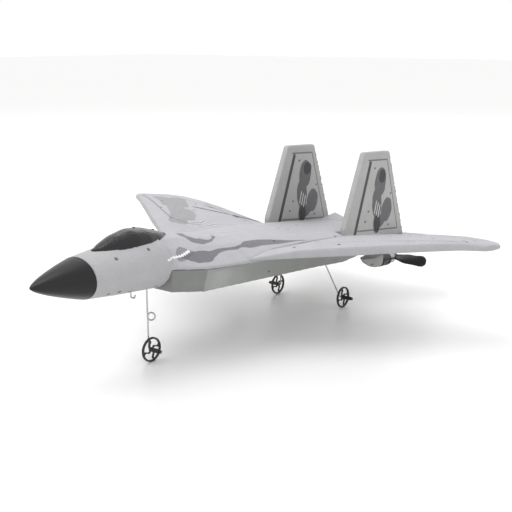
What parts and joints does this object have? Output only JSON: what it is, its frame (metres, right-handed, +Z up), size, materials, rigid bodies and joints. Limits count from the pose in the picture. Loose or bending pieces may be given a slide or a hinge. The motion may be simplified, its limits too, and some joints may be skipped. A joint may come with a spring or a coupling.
{
  "type": "foam RC jet plane",
  "caption": "Small grey foam RC jet with upright fins, black nose and canopy, pusher propellers in pods under the wings and spoked wheels on bent steel wire legs.",
  "frame": {"origin": "on the ground the wheels stand on, at the middle of the length and of the span", "axes": "+X towards the pilot's left wing tip, +Y towards the tail, +Z up"},
  "size_m": [0.2608, 0.2846, 0.0947],
  "materials": {
    "foam_grey": "matte",
    "foam_belly": "matte",
    "foam_fin": "matte",
    "nose_black": "satin",
    "canopy_black": "gloss",
    "black_plastic": "satin",
    "propeller_black": "satin",
    "motor_steel": "satin",
    "steel_wire": "satin",
    "rubber_black": "matte",
    "carbon_rod": "satin",
    "battery_wrap": "satin",
    "circuit_board": "satin",
    "socket_white": "satin",
    "lead_insulation": "satin"
  },
  "bodies": {
    "airframe": {"battery": "battery_wrap", "bay_cover": "black_plastic", "canopy": "canopy_black", "charge_socket": "socket_white", "cover_screws": "steel_wire", "equipment_tray": "black_plastic", "fuselage": "foam_grey", "hatch_pin": "steel_wire", "intake_trunk": "foam_belly", "left_fin": "foam_fin", "left_motor": "motor_steel", "left_motor_clip": "black_plastic", "left_motor_lead": "lead_insulation", "left_motor_pod": "foam_belly", "left_tailplane": "foam_grey", "left_wheel_stop": "rubber_black", "left_wing": "foam_grey", "left_wing_spar": "carbon_rod", "main_gear_block": "black_plastic", "main_gear_wire": "steel_wire", "nose_cone": "nose_black", "nose_gear_socket": "black_plastic", "nose_gear_wire": "steel_wire", "nose_wheel_stop": "rubber_black", "receiver_board": "circuit_board", "right_fin": "foam_fin", "right_motor": "motor_steel", "right_motor_clip": "black_plastic", "right_motor_lead": "lead_insulation", "right_motor_pod": "foam_belly", "right_tailplane": "foam_grey", "right_wheel_stop": "rubber_black", "right_wing": "foam_grey", "right_wing_spar": "carbon_rod", "switch_body": "black_plastic", "tow_hook": "steel_wire"},
    "left_propeller": {"left_propeller": "propeller_black", "left_motor_shaft": "steel_wire"},
    "right_propeller": {"right_propeller": "propeller_black", "right_motor_shaft": "steel_wire"},
    "nose_wheel": {"nose_wheel": "black_plastic"},
    "left_wheel": {"left_wheel": "black_plastic"},
    "right_wheel": {"right_wheel": "black_plastic"},
    "left_trim_flap": {"left_trim_flap": "foam_grey"},
    "right_trim_flap": {"right_trim_flap": "foam_grey"},
    "battery_hatch": {"battery_hatch": "black_plastic"},
    "switch_slider": {"switch_slider": "black_plastic"}
  },
  "joints": [
    {"name": "left_propeller_spin", "type": "hinge", "parent": "airframe", "child": "left_propeller", "pos_m": [0.054, 0.07375, 0.0352], "axis": [0, 0.9974, -0.0722], "continuous": true},
    {"name": "right_propeller_spin", "type": "hinge", "parent": "airframe", "child": "right_propeller", "pos_m": [-0.054, 0.07375, 0.0352], "axis": [0, 0.9974, -0.0722], "continuous": true},
    {"name": "nose_wheel_spin", "type": "hinge", "parent": "airframe", "child": "nose_wheel", "pos_m": [0, -0.06845, 0.0065], "axis": [1, 0, 0], "continuous": true},
    {"name": "left_wheel_spin", "type": "hinge", "parent": "airframe", "child": "left_wheel", "pos_m": [0.025, 0.07325, 0.0065], "axis": [1, 0, 0], "continuous": true},
    {"name": "right_wheel_spin", "type": "hinge", "parent": "airframe", "child": "right_wheel", "pos_m": [-0.025, 0.07325, 0.0065], "axis": [1, 0, 0], "continuous": true},
    {"name": "left_trim_flap_hinge", "type": "hinge", "parent": "airframe", "child": "left_trim_flap", "pos_m": [0.0006, 0.12857, 0.0405], "axis": [0.9107, -0.4098, 0.0516], "range_deg": [-20, 20]},
    {"name": "right_trim_flap_hinge", "type": "hinge", "parent": "airframe", "child": "right_trim_flap", "pos_m": [-0.0006, 0.12857, 0.0405], "axis": [0.9107, 0.4098, -0.0516], "range_deg": [-20, 20]},
    {"name": "battery_hatch_hinge", "type": "hinge", "parent": "airframe", "child": "battery_hatch", "pos_m": [0, -0.05378, 0.0391], "axis": [-1, 0, 0], "range_deg": [0, 85]},
    {"name": "switch_slide", "type": "slide", "parent": "airframe", "child": "switch_slider", "axis": [1, 0, 0], "range_m": [0, 0.002]}
  ]
}
